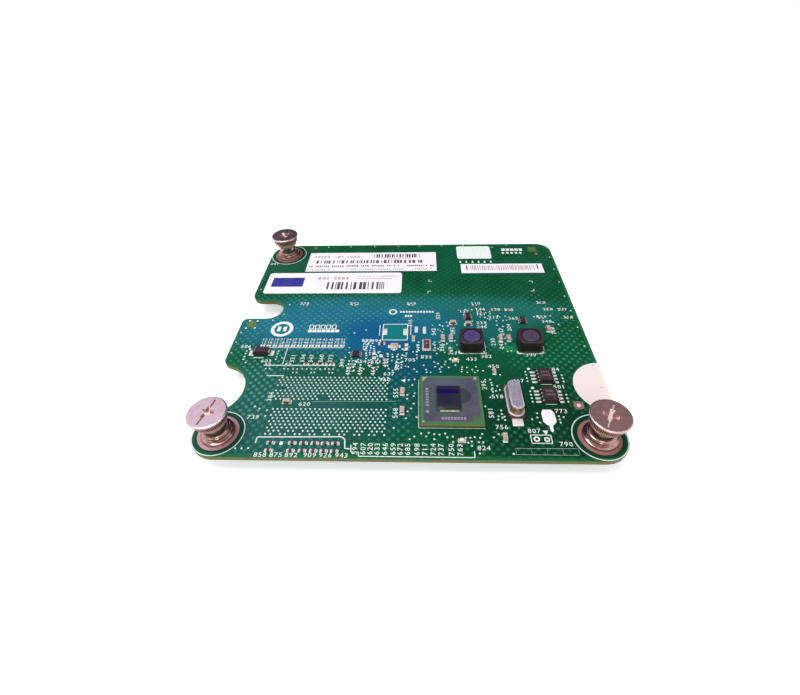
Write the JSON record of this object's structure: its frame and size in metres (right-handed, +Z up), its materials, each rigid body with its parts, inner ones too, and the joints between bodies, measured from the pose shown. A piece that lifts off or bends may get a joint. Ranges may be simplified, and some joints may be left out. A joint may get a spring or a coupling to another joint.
{
  "type": "mezzanine network card",
  "caption": "Small green mezzanine circuit board with a bare-die controller, power inductors, printed labels and spring-loaded captive screws at its corners.",
  "frame": {"origin": "under the centre of the board's outline, in the plane of the connector's mating rim, which is the lowest face", "axes": "+X along the board's long side, towards the plain edge; +Y from the edge with the via fields to the labelled edge; +Z up, the way the component side faces"},
  "size_m": [0.1142, 0.1016, 0.0158],
  "materials": {
    "board_laminate": "satin",
    "plated_steel": "satin",
    "nickel": "satin",
    "spring_steel": "satin",
    "black_moulding": "matte",
    "contact_wafers": "matte",
    "package_laminate": "satin",
    "die_silicon": "polished",
    "shield_ferrite": "matte",
    "drum_ferrite": "satin",
    "enamelled_copper": "satin",
    "can_metal": "satin",
    "package_black": "satin",
    "chip_ceramic": "satin",
    "lamp_cream": "gloss",
    "label_paper": "matte"
  },
  "bodies": {
    "card": {"capacitor_chip_back": "chip_ceramic", "capacitor_chip_front": "chip_ceramic", "capacitor_crystal": "chip_ceramic", "capacitor_fields": "chip_ceramic", "capacitor_front": "chip_ceramic", "capacitor_inductor_1": "chip_ceramic", "capacitor_inductor_2": "chip_ceramic", "capacitor_middle_1": "chip_ceramic", "capacitor_middle_2": "chip_ceramic", "capacitor_regulator_input": "chip_ceramic", "capacitor_regulator_left": "chip_ceramic", "capacitor_regulator_right": "chip_ceramic", "capacitor_switch": "chip_ceramic", "circuit_board": "board_laminate", "connector_contacts_back": "contact_wafers", "connector_contacts_front": "contact_wafers", "connector_housing": "black_moulding", "controller_die": "die_silicon", "controller_substrate": "package_laminate", "crystal_base": "black_moulding", "crystal_can": "can_metal", "diode": "package_black", "inductor_core_left": "drum_ferrite", "inductor_core_right": "drum_ferrite", "inductor_shield_left": "shield_ferrite", "inductor_shield_right": "shield_ferrite", "inductor_winding_left": "enamelled_copper", "inductor_winding_right": "enamelled_copper", "label_main": "label_paper", "label_small": "label_paper", "label_top": "label_paper", "memory_back": "package_black", "memory_front": "package_black", "regulator_left": "package_black", "regulator_right": "package_black", "reset_chip": "package_black", "resistor_back_1": "chip_ceramic", "resistor_back_2": "chip_ceramic", "resistor_back_3": "chip_ceramic", "resistor_back_4": "chip_ceramic", "resistor_back_5": "chip_ceramic", "resistor_back_6": "chip_ceramic", "resistor_front_1": "chip_ceramic", "resistor_front_2": "chip_ceramic", "resistor_front_3": "chip_ceramic", "resistor_front_4": "chip_ceramic", "resistor_front_5": "chip_ceramic", "resistor_front_6": "chip_ceramic", "resistor_pack": "package_black", "retainer_back_left": "plated_steel", "retainer_front_left": "plated_steel", "retainer_front_right": "plated_steel", "status_lamp_front": "lamp_cream", "status_lamp_middle": "lamp_cream"},
    "front_left_spring": {"spring_front_left": "spring_steel"},
    "front_left_screw": {"captive_screw_front_left": "nickel"},
    "front_right_spring": {"spring_front_right": "spring_steel"},
    "front_right_screw": {"captive_screw_front_right": "nickel"},
    "back_left_spring": {"spring_back_left": "spring_steel"},
    "back_left_screw": {"captive_screw_back_left": "nickel"}
  },
  "joints": [
    {"name": "front_left_press", "type": "slide", "parent": "card", "child": "front_left_spring", "axis": [0, 0, 1], "range_m": [-0.003, 0], "stiffness_N_per_m": 200, "springref_m": 0.0005, "deforming": ["spring_front_left"]},
    {"name": "front_left_turn", "type": "hinge", "parent": "front_left_spring", "child": "front_left_screw", "pos_m": [-0.05, -0.04365, 0.0153], "axis": [0, 0, 1], "continuous": true},
    {"name": "front_right_press", "type": "slide", "parent": "card", "child": "front_right_spring", "axis": [0, 0, 1], "range_m": [-0.003, 0], "stiffness_N_per_m": 200, "springref_m": 0.0005, "deforming": ["spring_front_right"]},
    {"name": "front_right_turn", "type": "hinge", "parent": "front_right_spring", "child": "front_right_screw", "pos_m": [0.05, -0.04365, 0.0153], "axis": [0, 0, 1], "continuous": true},
    {"name": "back_left_press", "type": "slide", "parent": "card", "child": "back_left_spring", "axis": [0, 0, 1], "range_m": [-0.003, 0], "stiffness_N_per_m": 200, "springref_m": 0.0005, "deforming": ["spring_back_left"]},
    {"name": "back_left_turn", "type": "hinge", "parent": "back_left_spring", "child": "back_left_screw", "pos_m": [-0.05, 0.04365, 0.0153], "axis": [0, 0, 1], "continuous": true}
  ]
}
